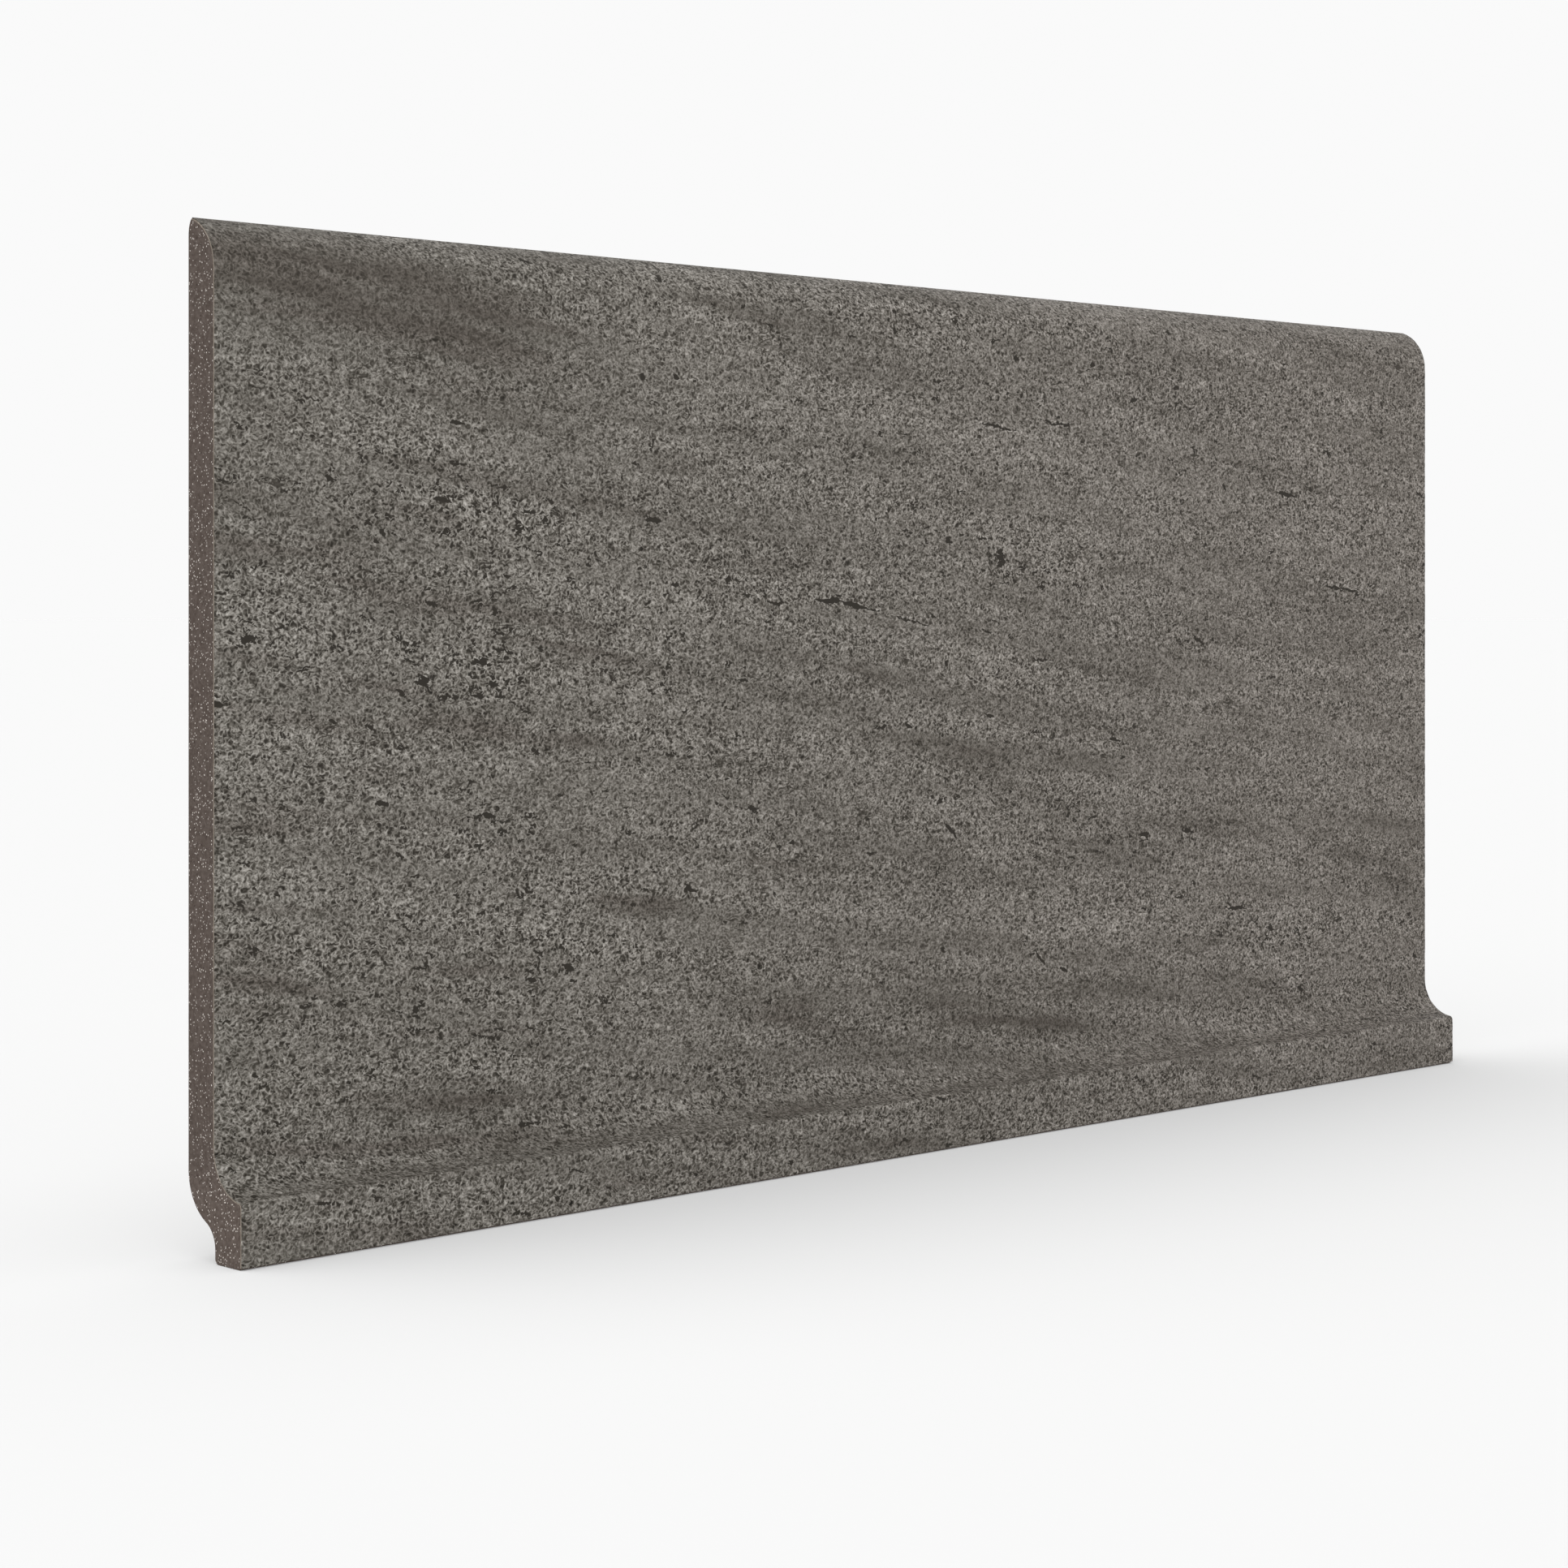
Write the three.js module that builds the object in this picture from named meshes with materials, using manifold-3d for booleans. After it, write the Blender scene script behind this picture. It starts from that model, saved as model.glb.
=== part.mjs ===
// Cove-base skirting tile: a pressed stoneware slab with a rounded top edge and a foot that
// steps forward by one thickness, so that the wall facing turns into the floor in a cove.
//
// The tile stands upright: +X runs along its length, the glazed face looks towards -Y, the
// wall is on the +Y side, and +Z is up. The origin is on the wall plane at mid-length,
// bondHeight above the floor. Millimetres.
//
// The section is drawn in two coordinates: "out" from the wall plane and "up" from the floor.
// Every layer is that section carried along the length, so the layers share their edges.

import * as THREE from "three";
import { mergeVertices } from "three/addons/utils/BufferGeometryUtils.js";
import Module from "manifold-3d";

// Overall sizes
const length = 297;
const height = 150;
const thickness = 6.75;

// Rounded top edge
const bullnoseRadius = 8;
const backArrisWidth = 1.1; // how far the crown stands from the wall plane
const backArrisDrop = 2.6; // height of the rounded corner behind the crown

// Foot
const toeHeight = 9.67;
const toeDepth = 6.75; // how far the toe steps out in front of the flat face
const toeThickness = 6.75;
const coveRadius = 7;
const noseRadius = 0.8;

// Rear of the foot
const upperBendRadius = 8;
const lowerBendRadius = 4;
const heelHeight = 2; // straight stretch of the toe's back, below the bend
const heelRadius = 0.8;

// Coats on the front
const engobeThickness = 0.2;
const glazeThickness = 0.15;
const bareEdge = 0.35; // unglazed bevel along the bottom front edge

// Keyed back: a field of shallow pockets between ribs
const pocketSize = 13.4;
const pocketDepth = 0.5;
const pocketDraft = 0.35; // how much each pocket wall leans in from its mouth to its floor
const cutterOverrun = 0.5; // how far a pocket cutter starts behind the wall plane
const ribWidth = 2.6;
const fieldMargin = 4; // least plain border around the field

// Place of the origin
const bondHeight = 80;

// Segments of the round stretches
const bullnoseSegments = 12;
const arrisSegments = 5;
const coveSegments = 12;
const noseSegments = 4;
const bendSegments = 10;
const heelSegments = 4;

const quarterTurn = Math.PI / 2;
const halfTurn = Math.PI;

// Where the round stretches have their centres
const toeFront = thickness + toeDepth;
const toeBack = toeFront - toeThickness;
const noseCentre = new THREE.Vector2(toeFront - noseRadius, toeHeight - noseRadius);
const coveCentre = centreAbove(thickness + coveRadius, noseCentre, coveRadius + noseRadius);
const lowerBendCentre = new THREE.Vector2(toeBack - lowerBendRadius, heelHeight);
const upperBendCentre = centreAbove(upperBendRadius, lowerBendCentre, upperBendRadius + lowerBendRadius);
const crownAngle = Math.acos((backArrisWidth - thickness + bullnoseRadius) / bullnoseRadius);
const bullnoseCentre = new THREE.Vector2(
  thickness - bullnoseRadius,
  height - bullnoseRadius * Math.sin(crownAngle),
);
const backArrisCentre = new THREE.Vector2(backArrisWidth, height - backArrisDrop);

// The centre at a known distance out, and a known distance away from another one below it:
// two arcs whose centres are as far apart as their radii together touch without a corner.
function centreAbove(out, other, distance) {
  return new THREE.Vector2(out, other.y + Math.sqrt(distance ** 2 - (out - other.x) ** 2));
}

// Points along an arc of an ellipse, from one angle to another, both ends included.
function arc(centre, radiusOut, radiusUp, from, to, segments) {
  const points = [];
  for (let i = 0; i <= segments; i += 1) {
    const angle = from + ((to - from) * i) / segments;
    points.push(
      new THREE.Vector2(
        centre.x + radiusOut * Math.cos(angle),
        centre.y + radiusUp * Math.sin(angle),
      ),
    );
  }
  return points;
}

function roundArc(centre, radius, from, to, segments) {
  return arc(centre, radius, radius, from, to, segments);
}

// The front of the section from the crown down to the bare bottom edge, at some depth below
// the glazed surface. Arcs keep their centres, so two depths are everywhere equally far apart.
function frontOutline(depth) {
  const towardsNose = Math.atan2(noseCentre.y - coveCentre.y, noseCentre.x - coveCentre.x);
  return [
    ...roundArc(bullnoseCentre, bullnoseRadius - depth, crownAngle, 0, bullnoseSegments),
    ...roundArc(coveCentre, coveRadius + depth, -halfTurn, towardsNose, coveSegments),
    ...roundArc(noseCentre, noseRadius - depth, towardsNose + halfTurn, 0, noseSegments).slice(1),
    new THREE.Vector2(toeFront - depth, bareEdge),
  ];
}

// The rear of the section from the floor up to the crown: rounded heel, the reversed bend
// that lets the toe step forward, the flat back and the rounded back corner.
function rearOutline() {
  const heelCentre = new THREE.Vector2(toeBack + heelRadius, heelRadius);
  const across = upperBendCentre.clone().sub(lowerBendCentre);
  const bendAngle = Math.atan2(across.y, across.x);
  return [
    ...roundArc(heelCentre, heelRadius, -quarterTurn, -halfTurn, heelSegments),
    ...roundArc(lowerBendCentre, lowerBendRadius, 0, bendAngle, bendSegments),
    ...roundArc(upperBendCentre, upperBendRadius, bendAngle - halfTurn, -halfTurn, bendSegments)
      .slice(1),
    ...arc(backArrisCentre, backArrisWidth, backArrisDrop, halfTurn, quarterTurn, arrisSegments),
  ];
}

// A closed section carried along the tile's length.
function alongLength(outline) {
  return new THREE.ExtrudeGeometry(new THREE.Shape(outline), {
    depth: length,
    steps: 1,
    bevelEnabled: false,
  });
}

// A coat between two depths below the glazed surface.
function coatGeometry(outerDepth, innerDepth) {
  return alongLength([...frontOutline(outerDepth), ...frontOutline(innerDepth).reverse()]);
}

// One pocket cutter: a block that narrows towards the pocket's floor, centred on its own axis.
function pocketCutter() {
  const cutter = new THREE.BoxGeometry(pocketDepth + cutterOverrun, pocketSize, pocketSize);
  cutter.translate((pocketDepth - cutterOverrun) / 2, 0, 0);
  const floorScale = (pocketSize - 2 * pocketDraft) / pocketSize;
  const mouthScale = 2 - floorScale;
  const position = cutter.getAttribute("position");
  for (let i = 0; i < position.count; i += 1) {
    const scale = position.getX(i) > 0 ? floorScale : mouthScale;
    position.setY(i, position.getY(i) * scale);
    position.setZ(i, position.getZ(i) * scale);
  }
  return cutter;
}

// Centres of equal pockets in a row that fills a stretch and is centred on it.
function pocketCentres(start, end) {
  const pitch = pocketSize + ribWidth;
  const count = Math.floor((end - start - 2 * fieldMargin + ribWidth) / pitch);
  const first = (start + end - (count - 1) * pitch) / 2;
  return Array.from({ length: count }, (_, i) => first + i * pitch);
}

const wasm = await Module();
wasm.setup();

// A closed mesh as a manifold-3d solid: only positions are kept, and shared vertices merged.
function toSolid(geometry) {
  const bare = new THREE.BufferGeometry();
  bare.setAttribute("position", geometry.getAttribute("position"));
  bare.setIndex(geometry.getIndex());
  const merged = mergeVertices(bare);
  return new wasm.Manifold(
    new wasm.Mesh({
      numProp: 3,
      vertProperties: merged.getAttribute("position").array,
      triVerts: new Uint32Array(merged.getIndex().array),
    }),
  );
}

function toGeometry(solid) {
  const mesh = solid.getMesh();
  const geometry = new THREE.BufferGeometry();
  geometry.setAttribute("position", new THREE.BufferAttribute(mesh.vertProperties, mesh.numProp));
  geometry.setIndex(new THREE.BufferAttribute(mesh.triVerts, 1));
  geometry.computeVertexNormals();
  return geometry;
}

// The stoneware body under the coats, with the pockets cut into its flat back.
function bodyGeometry() {
  const bottomEdge = new THREE.Vector2(toeFront - engobeThickness - glazeThickness - bareEdge, 0);
  const front = frontOutline(engobeThickness + glazeThickness).reverse();
  const outline = [bottomEdge, ...front, ...rearOutline().reverse()];
  let body = toSolid(alongLength(outline));
  const cutter = toSolid(pocketCutter());
  for (const up of pocketCentres(upperBendCentre.y, backArrisCentre.y)) {
    for (const along of pocketCentres(0, length)) {
      body = body.subtract(cutter.translate([0, up, along]));
    }
  }
  return toGeometry(body);
}

function layer(name, geometry, material) {
  const mesh = new THREE.Mesh(geometry, material);
  mesh.name = name;
  return mesh;
}

const stoneware = new THREE.MeshStandardMaterial({
  color: 0x685d57,
  roughness: 0.9,
  metalness: 0,
});
const engobe = new THREE.MeshStandardMaterial({
  color: 0x8b857b,
  roughness: 0.85,
  metalness: 0,
});
const glaze = new THREE.MeshStandardMaterial({
  color: 0x6c6963,
  roughness: 0.7,
  metalness: 0,
});

// The section's plane stands upright: "out" turns to -Y, "up" to +Z and the length to -X.
const tile = new THREE.Group();
tile.rotation.set(quarterTurn, 0, -quarterTurn, "ZYX");
tile.position.set(length / 2, 0, -bondHeight);
tile.add(
  layer("stoneware_body", bodyGeometry(), stoneware),
  layer(
    "engobe_layer",
    coatGeometry(glazeThickness, glazeThickness + engobeThickness),
    engobe,
  ),
  layer("glaze_layer", coatGeometry(0, glazeThickness), glaze),
);

const skirtingTile = new THREE.Group();
skirtingTile.add(tile);

export default skirtingTile;
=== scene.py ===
"""Cove-base skirting tile: a pressed stoneware slab whose glazed face turns forward into a toe.

Three pieces share one section, drawn in "out" from the wall plane and "up" from the floor: the
stoneware body, the pale engobe on its front and the matte glaze over that. Each is the section
carried along the tile's length. X runs along the tile, the glazed face looks towards -Y and the
origin is on the wall plane, so out is -Y and up is Z plus the bond height. Metres.
"""

import math

import bpy
import numpy as np
from bpy.props import FloatProperty, FloatVectorProperty, PointerProperty
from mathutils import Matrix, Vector


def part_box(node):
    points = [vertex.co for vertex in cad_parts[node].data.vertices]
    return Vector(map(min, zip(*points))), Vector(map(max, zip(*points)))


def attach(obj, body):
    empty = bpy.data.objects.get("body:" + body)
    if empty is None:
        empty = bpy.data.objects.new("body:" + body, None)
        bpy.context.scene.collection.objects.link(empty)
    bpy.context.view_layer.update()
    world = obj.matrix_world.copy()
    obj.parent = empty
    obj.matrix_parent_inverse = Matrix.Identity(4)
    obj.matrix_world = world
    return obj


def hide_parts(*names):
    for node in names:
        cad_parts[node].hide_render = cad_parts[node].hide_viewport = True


bl_info = {
    "name": "Cove-Base Skirting Tile",
    "version": (1, 0, 0),
    "blender": (4, 5, 0),
    "location": "3D View > Sidebar > Skirting Tile",
    "description": "Builds a stoneware skirting tile with a coved foot, and a pale studio for it",
    "category": "Object",
}

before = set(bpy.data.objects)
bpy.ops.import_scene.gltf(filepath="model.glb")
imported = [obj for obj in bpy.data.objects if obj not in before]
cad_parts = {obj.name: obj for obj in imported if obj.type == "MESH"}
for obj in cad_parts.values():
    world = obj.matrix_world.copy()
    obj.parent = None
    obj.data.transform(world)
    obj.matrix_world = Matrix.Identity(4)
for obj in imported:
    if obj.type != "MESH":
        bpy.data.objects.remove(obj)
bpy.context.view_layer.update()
BODY_LOW, BODY_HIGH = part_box("stoneware_body")
MM = 0.001

# Segments of the section's round stretches
CROWN_SEGMENTS = 10
BULLNOSE_SEGMENTS = 20
COVE_SEGMENTS = 20
NOSE_SEGMENTS = 8
UPPER_BEND_SEGMENTS = 16
LOWER_BEND_SEGMENTS = 12
HEEL_SEGMENTS = 6

# Stations along the tile, and the glaze's grid
ENGOBE_STATIONS = 34
GLAZE_STATIONS = 340
GLAZE_SPACING = 0.8 * MM
CHIPPED_EDGE = 0.12 * MM  # how far in from each cut end the glaze is chipped
SHARP_ANGLE = math.radians(40)

# Colour field of the glaze. Each stroke is a soft oval: along from the left end, up from the
# floor, length and width in mm, slope in degrees and strength.
DARK_STROKES = (
    (28, 139, 70, 15, -12, 0.8),
    (8, 146, 30, 6, -12, 0.5),
    (52, 93, 48, 5, -3, 0.7),
    (32, 68, 17, 4, -4, 0.6),
    (72, 73, 18, 4, -6, 0.6),
    (56, 56, 15, 4, -5, 0.6),
    (79, 46, 22, 5, -8, 0.8),
    (168, 100, 24, 4, -5, 0.6),
    (250, 96, 24, 4, -4, 0.6),
    (182, 57.5, 48, 6, -18, 0.7),
    (225, 50, 42, 5, -3, 0.6),
    (280, 41, 38, 6, -16, 0.8),
    (109, 28, 42, 6, -15, 0.8),
    (167, 21.5, 48, 7, -11, 1.0),
    (237, 21, 28, 4, -6, 0.6),
    # darker low at the left end, down to the cove
    (35, 18, 74, 13, -8, 0.75),
    (12, 103, 30, 4, -3, 0.5),
    (90, 117, 12, 4, 0, 0.4),
    (5, 42, 18, 6, -10, 0.8),
    (150, 71, 40, 3, -14, 0.5),
    (145, 3, 54, 4, 0, 0.5),
    (135, 6, 120, 9, 0, 0.35),
    (242, 3, 18, 4, 0, 0.5),
    (277, 3, 28, 4, 0, 0.5),
    (120, 84, 60, 7, -9, 0.3),
    (215, 78, 70, 8, -10, 0.35),
    (100, 122, 60, 9, -10, 0.25),
)
LIGHT_STROKES = (
    (207, 146, 60, 7, -3, 0.9),
    (48, 118, 28, 7, -8, 0.7),
    (272, 108, 38, 8, -6, 0.7),
    (209, 62, 20, 5, -8, 0.6),
    (190, 120, 84, 9, -6, 0.6),
    (262, 25, 28, 6, -6, 0.6),
    (75, 62, 24, 6, -8, 0.4),
    (120, 66, 34, 8, -8, 0.4),
)
PITTED_STROKES = (
    (47, 110, 40, 15, -15, 0.5),
    (6, 93, 14, 12, 0, 0.7),
    (40, 85, 120, 90, 0, 0.2),
    (35, 35, 70, 26, -8, 0.35),
    (44, 84, 26, 9, -8, 0.9),
    (157, 105, 48, 8, -10, 0.7),
    (147, 145, 28, 7, 0, 0.8),
    (175, 100, 40, 9, -12, 0.5),
    (98, 97, 30, 8, -6, 0.6),
    (52, 60, 18, 6, -8, 0.7),
    (69, 40, 22, 6, -8, 0.9),
    (50, 27, 14, 5, 0, 0.8),
    (180, 32, 14, 6, -20, 1.1),
    (246, 30, 26, 6, -5, 1.1),
    (195, 53, 30, 7, -16, 1.0),
    (260, 48, 14, 4, -5, 0.9),
    (288, 30, 18, 4, 0, 0.9),
    (228, 62, 16, 4, -5, 0.7),
    (250, 19, 18, 6, -5, 0.7),
    (272, 97, 18, 5, -5, 0.8),
)
SMOOTH_STROKES = (
    (35, 137, 76, 22, -10, 1.2),
    (160, 24, 130, 22, -5, 0.7),
    (270, 54, 56, 22, -8, 0.7),
    (245, 70, 120, 60, -8, 0.35),
    (125, 66, 34, 13, -5, 0.6),
)
# Fissures of the stone pattern: along and up at each end and the greatest width, in mm.
FISSURES = (
    (120.5, 94.9, 127.5, 94.6, 0.75),
    (126.5, 94.7, 133.0, 93.2, 0.85),
    (132.0, 93.5, 136.5, 92.9, 0.3),
    (140.0, 92.0, 148.0, 90.4, 0.3),
    (109.0, 94.6, 112.5, 94.2, 0.4),
    (82.0, 107.9, 86.0, 107.3, 0.6),
    (162.0, 125.9, 171.0, 125.2, 0.28),
    (178.0, 127.2, 186.0, 126.7, 0.28),
    (247.0, 115.9, 253.0, 115.1, 0.6),
    (263.0, 97.4, 269.0, 97.1, 0.5),
    (268.0, 97.2, 274.0, 96.3, 0.4),
    (221.0, 88.1, 224.5, 86.0, 0.5),
    (152.0, 56.0, 155.5, 53.0, 0.5),
    (176.0, 31.5, 179.0, 29.0, 0.5),
    (231.0, 35.8, 238.0, 35.2, 0.4),
    (183.0, 27.9, 185.4, 27.1, 0.5),
    (132.7, 51.6, 135.2, 51.1, 0.5),
    (142.0, 73.3, 144.2, 72.7, 0.5),
    (162.8, 74.6, 165.3, 73.9, 0.5),
    (174.7, 84.1, 181.0, 83.9, 0.25),
    (217.8, 51.2, 222.2, 50.8, 0.4),
    (196.8, 69.3, 200.2, 68.7, 0.4),
    (42.7, 121.9, 45.4, 121.5, 0.4),
    (39.0, 110.4, 43.0, 109.7, 0.5),
    (51.0, 90.0, 53.6, 89.4, 0.5),
    (20.0, 77.3, 21.6, 76.7, 0.6),
    (-1.0, 80.2, 1.7, 79.7, 0.7),
    (46.7, 80.3, 49.4, 79.8, 0.5),
    (170.2, 138.3, 171.9, 137.7, 0.8),
    (191.2, 138.2, 192.9, 137.8, 0.8),
    (80.8, 130.8, 82.3, 130.2, 0.8),
    (88.3, 131.2, 89.8, 130.8, 0.7),
)


class SkirtingTileSizes(bpy.types.PropertyGroup):
    """Sizes of the tile's section, coats and keyed back"""

    def length_of(name, description, millimetres):
        return FloatProperty(
            name=name,
            description=description,
            default=millimetres * MM,
            min=0.0,
            precision=5,
            unit="LENGTH",
        )

    thickness: length_of("Thickness", "Thickness of the slab above its foot", 6.75)
    bullnose_radius: length_of("Bullnose radius", "Radius of the rounded top edge", 8)
    crown_out: length_of("Crown stand-off", "How far the crown is from the wall", 1.1)
    crown_drop: length_of("Crown drop", "Height of the rounded corner behind the crown", 2.6)
    toe_height: length_of("Toe height", "Height of the toe above the floor", 9.67)
    toe_depth: length_of("Toe depth", "How far the toe steps forward of the face", 6.75)
    toe_thickness: length_of("Toe thickness", "Thickness of the toe", 6.75)
    cove_radius: length_of("Cove radius", "Radius between the face and the toe", 7)
    nose_radius: length_of("Nose radius", "Radius of the toe's upper edge", 0.8)
    upper_bend: length_of("Upper bend", "Radius where the back leaves the wall", 8)
    lower_bend: length_of("Lower bend", "Radius where the back meets the toe", 4)
    heel_height: length_of("Heel height", "Straight stretch of the toe's back", 2)
    heel_radius: length_of("Heel radius", "Radius of the toe's rear bottom edge", 0.8)
    engobe: length_of("Engobe thickness", "Thickness of the pale coat under the glaze", 0.2)
    glaze: length_of("Glaze thickness", "Thickness of the glaze", 0.15)
    bare_edge: length_of("Bare edge", "Unglazed bevel along the bottom front edge", 0.35)
    pocket_size: length_of("Pocket size", "Side of each pocket in the back", 13.4)
    pocket_depth: length_of("Pocket depth", "Depth of each pocket in the back", 0.5)
    pocket_draft: length_of("Pocket draft", "How far a pocket's walls lean in", 0.35)
    pocket_corner: length_of("Pocket corner", "Corner radius of each pocket", 1.1)
    rib_width: length_of("Rib width", "Width of the ribs between pockets", 2.6)
    field_margin: length_of("Field margin", "Least plain border round the pockets", 4)
    relief: length_of("Glaze relief", "Greatest depth of the glaze's stony relief", 0.1)
    arris: length_of("End arris", "Blunting of the back's end edges", 0.15)


class SkirtingTileFinish(bpy.types.PropertyGroup):
    """Colours of the tile's materials"""

    def colour_of(name, description, red, green, blue):
        return FloatVectorProperty(
            name=name,
            description=description,
            default=(red, green, blue),
            size=3,
            min=0.0,
            max=1.0,
            subtype="COLOR_GAMMA",
        )

    glaze: colour_of("Glaze", "Middle tone of the glaze", 0.401, 0.384, 0.356)
    streak: colour_of("Streak", "Cast of the glaze's smooth streaks", 1.0, 0.98, 0.982)
    engobe: colour_of("Engobe", "Pale coat under the glaze", 0.55, 0.51, 0.465)
    body: colour_of("Stoneware", "Fired clay of the body", 0.350, 0.309, 0.285)
    speck: colour_of("Speck", "Pale grit in the fired clay", 0.93, 0.90, 0.87)
    wash: colour_of("Kiln wash", "Pale wash left on the back's ribs", 0.62, 0.59, 0.56)


class SkirtingTileStage(bpy.types.PropertyGroup):
    """Camera, floor and light"""

    backdrop: FloatProperty(
        name="Backdrop",
        description="Brightness of the backdrop and of the unshaded floor",
        default=0.955,
        min=0.0,
    )
    floor_glow: FloatProperty(
        name="Floor glow",
        description="Share of the floor's brightness that no shadow takes away",
        default=0.29,
        min=0.0,
        max=1.0,
        subtype="FACTOR",
    )
    floor_fill: FloatProperty(
        name="Floor fill",
        description="Share of the floor's brightness that comes from all round",
        default=0.12,
        min=0.0,
        max=1.0,
        subtype="FACTOR",
    )
    left_lamp: FloatVectorProperty(
        name="Left lamp",
        description="Where the wide lamp above and to the left is, as a direction",
        default=(-0.6, 0.1, 1.0),
        size=3,
        subtype="DIRECTION",
    )
    left_spread: FloatProperty(
        name="Left lamp spread",
        description="How wide the left lamp looks from the floor",
        default=math.radians(85),
        min=0.0,
        max=math.pi,
        subtype="ANGLE",
    )
    left_share: FloatProperty(
        name="Left lamp share",
        description="Share of the lamps' light that the left one gives",
        default=0.67,
        min=0.0,
        max=1.0,
        subtype="FACTOR",
    )
    right_lamp: FloatVectorProperty(
        name="Right lamp",
        description="Where the lamp above and slightly to the right is, as a direction",
        default=(0.25, 0.05, 1.0),
        size=3,
        subtype="DIRECTION",
    )
    right_spread: FloatProperty(
        name="Right lamp spread",
        description="How wide the right lamp looks from the floor",
        default=math.radians(60),
        min=0.0,
        max=math.pi,
        subtype="ANGLE",
    )
    rake_from: FloatVectorProperty(
        name="Rake from",
        description="Where the lamp that rakes the back is, as a direction",
        default=(0.8, 0.32, 0.5),
        size=3,
        subtype="DIRECTION",
    )
    rake_strength: FloatProperty(
        name="Rake strength",
        description="Strength of the lamp that rakes the back",
        default=1.6,
        min=0.0,
    )
    rake_spread: FloatProperty(
        name="Rake spread",
        description="How wide the lamp that rakes the back looks from the tile",
        default=math.radians(20),
        min=0.0,
        max=math.pi,
        subtype="ANGLE",
    )
    floor_half: FloatProperty(
        name="Floor half width",
        description="Half the width of the square floor",
        default=12.0,
        min=1.0,
        unit="LENGTH",
    )
    camera_place: FloatVectorProperty(
        name="Camera place",
        description="Where the camera stands",
        default=(-0.4145, -0.3984, 0.01528),
        size=3,
        precision=5,
        subtype="TRANSLATION",
        unit="LENGTH",
    )
    camera_turn: FloatProperty(
        name="Camera turn",
        description="How far the level camera is turned about the upright axis",
        default=math.radians(-44.07),
        subtype="ANGLE",
    )
    lens_shift: FloatProperty(
        name="Lens shift",
        description="Vertical shift of the lens, as a share of the picture's width",
        default=-0.1191,
    )
    focal_length: FloatProperty(
        name="Focal length",
        description="Focal length of the camera, in mm",
        default=75,
        min=1.0,
        unit="CAMERA",
    )


# ---------------------------------------------------------------- section


def arc(centre, radii, start, end, segments):
    """Centre plus the radii times the cosine and sine of evenly spaced angles."""
    angle = np.linspace(start, end, segments + 1)
    return centre + radii * np.column_stack([np.cos(angle), np.sin(angle)])


def centre_above(out, other, distance):
    """The centre at a known distance out, and a known distance away from another one below it."""
    return np.array([out, other[1] + math.sqrt(distance**2 - (out - other[0]) ** 2)])


def direction(start, end):
    """Angle of the line from one point to another."""
    return math.atan2(end[1] - start[1], end[0] - start[0])


def straight(start, end, spacing):
    """Points between two ends, without the first, no further apart than the spacing."""
    pieces = max(1, math.ceil(math.dist(start, end) / spacing))
    share = np.linspace(0, 1, pieces + 1)[1:, None]
    return start + share * (np.asarray(end) - start)


def front_outline(sizes, depth, spacing):
    """The front from the crown down to the bare bottom edge, some depth below the glazed face.

    Bullnose arc, flat face, cove arc, nose arc and toe front, each touching the next without a
    corner. The arcs keep their centres, so two depths are everywhere equally far apart. Points
    on the straight parts are no further apart than the spacing.
    """
    toe_front = sizes.thickness + sizes.toe_depth
    height = BODY_HIGH[2] - BODY_LOW[2]
    nose = np.array([toe_front - sizes.nose_radius, sizes.toe_height - sizes.nose_radius])
    reach = sizes.cove_radius + sizes.nose_radius
    cove = centre_above(sizes.thickness + sizes.cove_radius, nose, reach)
    to_nose = direction(cove, nose)
    bullnose_out = sizes.thickness - sizes.bullnose_radius
    crown = math.acos((sizes.crown_out - bullnose_out) / sizes.bullnose_radius)
    bullnose = np.array([bullnose_out, height - sizes.bullnose_radius * math.sin(crown)])
    bottom = np.array([toe_front - depth, sizes.bare_edge])
    top_arc = arc(bullnose, sizes.bullnose_radius - depth, crown, 0, BULLNOSE_SEGMENTS)
    cove_arc = arc(cove, sizes.cove_radius + depth, -math.pi, to_nose, COVE_SEGMENTS)
    nose_arc = arc(nose, sizes.nose_radius - depth, to_nose + math.pi, 0, NOSE_SEGMENTS)
    return np.vstack(
        [
            top_arc,
            straight(top_arc[-1], cove_arc[0], spacing),
            cove_arc[1:],
            nose_arc[1:],
            straight(nose_arc[-1], bottom, spacing),
        ]
    )


def bend_centres(sizes):
    """Centres of the two arcs, touching each other, that let the toe step forward."""
    toe_back = sizes.thickness + sizes.toe_depth - sizes.toe_thickness
    lower = np.array([toe_back - sizes.lower_bend, sizes.heel_height])
    upper = centre_above(sizes.upper_bend, lower, sizes.upper_bend + sizes.lower_bend)
    return lower, upper


def rear_outline(sizes, flat_rows):
    """The rear from the crown down to the floor, with rows at given heights on its flat part.

    Rounded back corner, flat back, the two opposite arcs of the bend that lets the toe step
    forward, and the rounded heel.
    """
    height = BODY_HIGH[2] - BODY_LOW[2]
    lower, upper = bend_centres(sizes)
    bend = direction(lower, upper)
    toe_back = sizes.thickness + sizes.toe_depth - sizes.toe_thickness
    heel = np.array([toe_back + sizes.heel_radius, sizes.heel_radius])
    corner = np.array([sizes.crown_out, height - sizes.crown_drop])
    corner_radii = np.array([sizes.crown_out, sizes.crown_drop])
    return np.vstack(
        [
            arc(corner, corner_radii, math.pi / 2, math.pi, CROWN_SEGMENTS),
            np.column_stack([np.zeros(len(flat_rows)), flat_rows[::-1]]),
            arc(upper, sizes.upper_bend, math.pi, bend + math.pi, UPPER_BEND_SEGMENTS),
            arc(lower, sizes.lower_bend, bend, 0, LOWER_BEND_SEGMENTS)[1:],
            arc(heel, sizes.heel_radius, math.pi, 1.5 * math.pi, HEEL_SEGMENTS),
        ]
    )


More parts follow.
